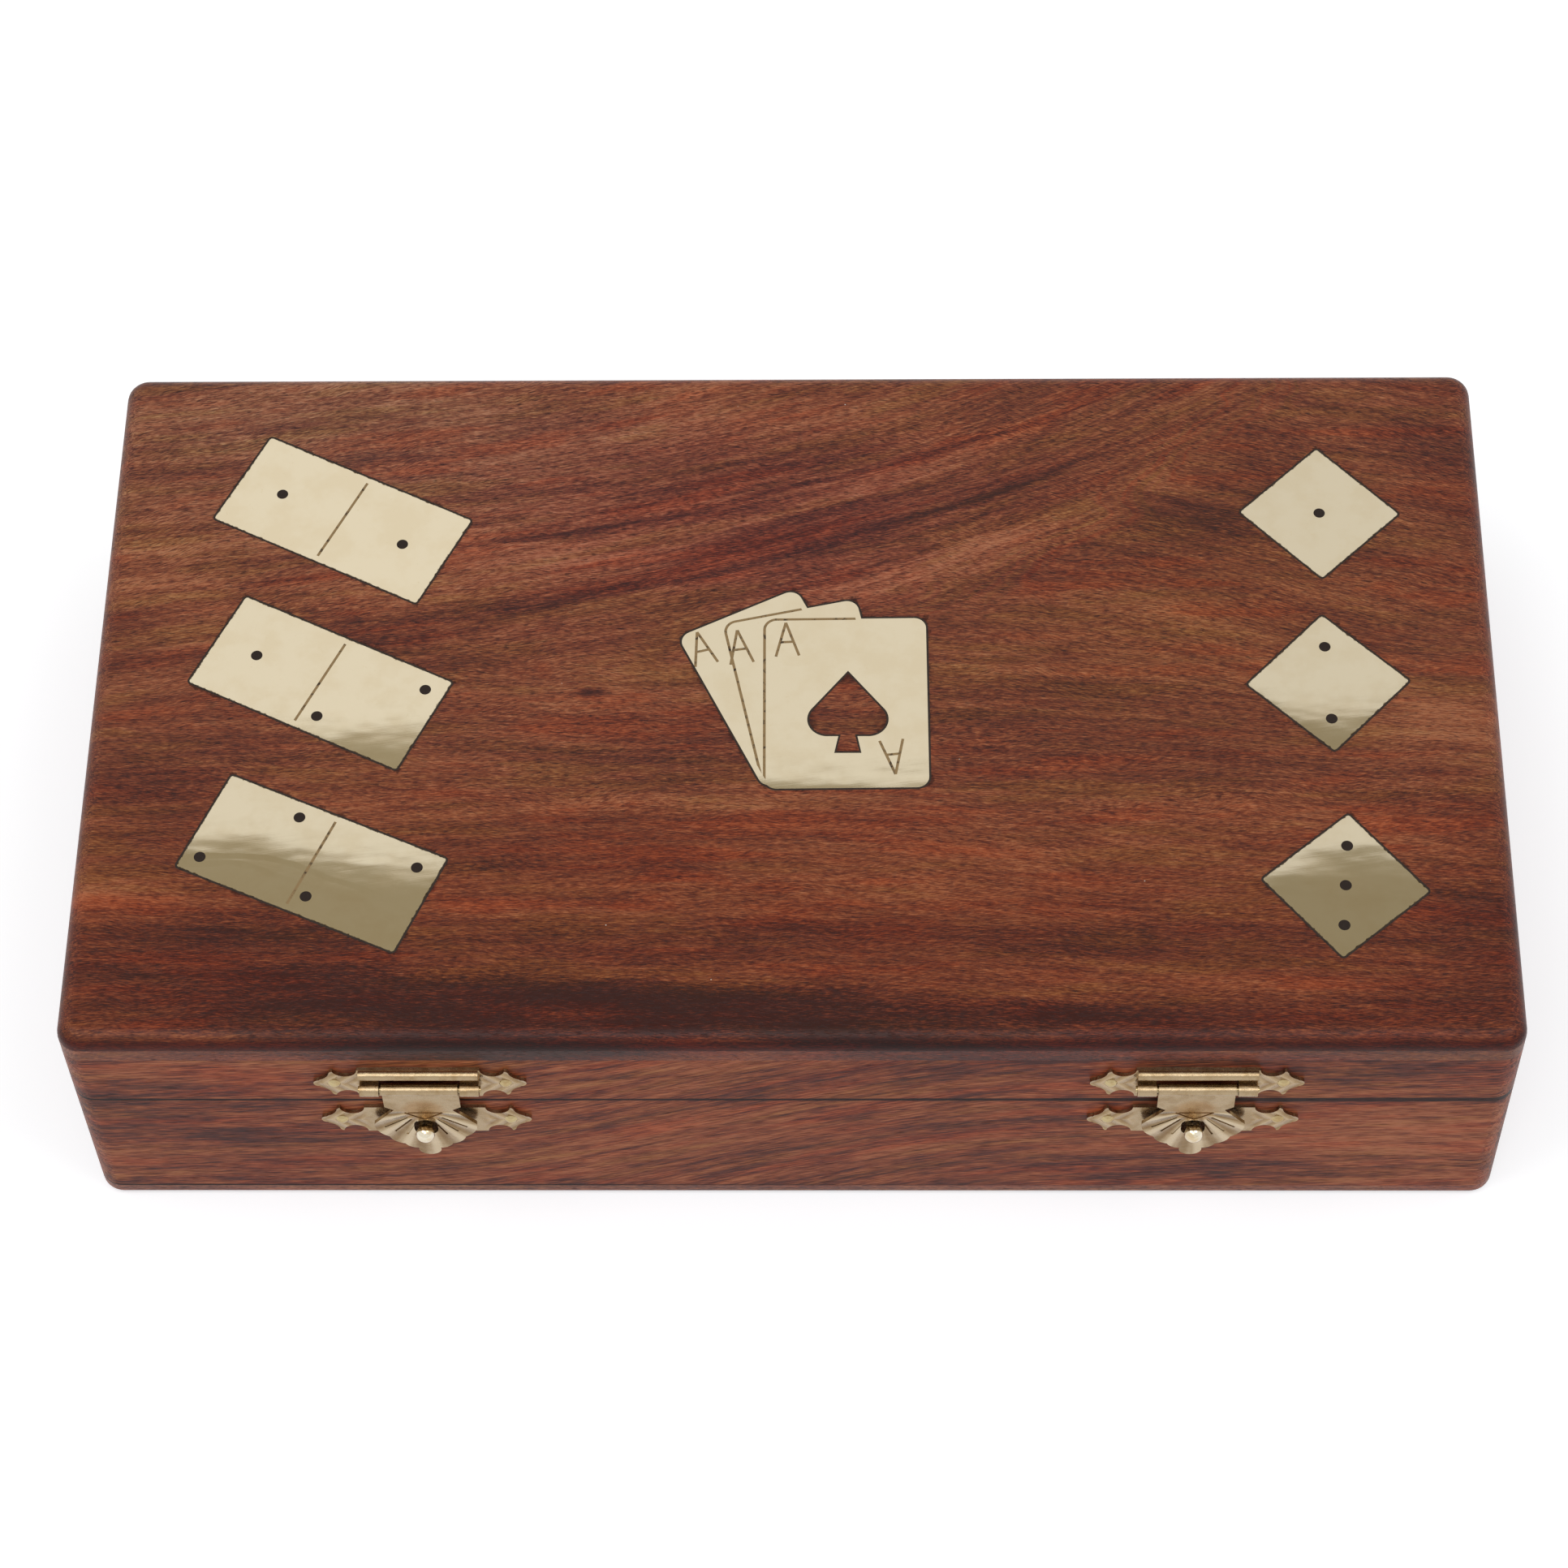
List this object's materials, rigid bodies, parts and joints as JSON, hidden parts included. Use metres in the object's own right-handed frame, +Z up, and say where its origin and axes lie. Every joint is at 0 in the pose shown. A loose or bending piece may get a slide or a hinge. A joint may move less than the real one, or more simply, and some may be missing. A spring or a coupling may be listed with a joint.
{
  "type": "domino storage box",
  "caption": "Flat wooden game box with rounded edges, a lid hinged at the back, brass hasp clasps in front, brass domino, dice and card inlays on top, and lined compartments inside.",
  "frame": {"origin": "centre of the base's underside, where the box rests", "axes": "+X to the right along the length, +Y towards the hinges at the back, +Z up"},
  "size_m": [0.229, 0.1385, 0.052],
  "materials": {
    "rosewood": "satin lacquered rosewood with dark streaks",
    "inner_wood": "plain sanded wood",
    "felt": "thin dark red felt",
    "inlay_brass": "pale brass, sanded flush and lacquered",
    "dark_filler": "dark brown resin filler",
    "stamped_brass": "thin stamped sheet, bright with dull patches",
    "polished_brass": "polished"
  },
  "bodies": {
    "base": {"base_bottom_panel": "rosewood", "base_front_wall": "rosewood", "base_back_wall": "rosewood", "base_left_wall": "rosewood", "base_right_wall": "rosewood", "divider_left": "inner_wood", "divider_right": "inner_wood", "felt_domino_bay": "felt", "felt_card_bay": "felt", "felt_dice_bay": "felt", "clasp_left_lower_plate": "stamped_brass", "clasp_left_knob": "polished_brass", "clasp_right_lower_plate": "stamped_brass", "clasp_right_knob": "polished_brass", "clasp_base_nails": "polished_brass", "hinge_left_base_leaf": "polished_brass", "hinge_left_pin": "polished_brass", "hinge_right_base_leaf": "polished_brass", "hinge_right_pin": "polished_brass", "hinge_base_screws": "polished_brass"},
    "lid": {"lid_top_panel": "rosewood", "lid_front_rail": "rosewood", "lid_back_rail": "rosewood", "lid_left_rail": "rosewood", "lid_right_rail": "rosewood", "inlay_domino_back": "inlay_brass", "inlay_domino_middle": "inlay_brass", "inlay_domino_front": "inlay_brass", "inlay_die_back": "inlay_brass", "inlay_die_middle": "inlay_brass", "inlay_die_front": "inlay_brass", "inlay_card_fan": "inlay_brass", "inlay_filler_outlines": "dark_filler", "inlay_filler_marks": "dark_filler", "clasp_left_upper_plate": "stamped_brass", "clasp_left_pivot_wire": "polished_brass", "clasp_right_upper_plate": "stamped_brass", "clasp_right_pivot_wire": "polished_brass", "clasp_lid_nails": "polished_brass", "hinge_left_lid_leaf": "polished_brass", "hinge_right_lid_leaf": "polished_brass", "hinge_lid_screws": "polished_brass"},
    "hasp_left": {"clasp_left_hasp": "stamped_brass"},
    "hasp_right": {"clasp_right_hasp": "stamped_brass"}
  },
  "joints": [
    {"name": "lid_hinge", "type": "hinge", "parent": "base", "child": "lid", "pos_m": [0, 0.067, 0.033], "axis": [-1, 0, 0], "range_deg": [0, 180]},
    {"name": "hasp_left_pivot", "type": "hinge", "parent": "lid", "child": "hasp_left", "pos_m": [-0.0583, -0.0667, 0.0396], "axis": [-1, 0, 0], "range_deg": [0, 165]},
    {"name": "hasp_right_pivot", "type": "hinge", "parent": "lid", "child": "hasp_right", "pos_m": [0.0638, -0.0667, 0.0396], "axis": [-1, 0, 0], "range_deg": [0, 165]}
  ]
}
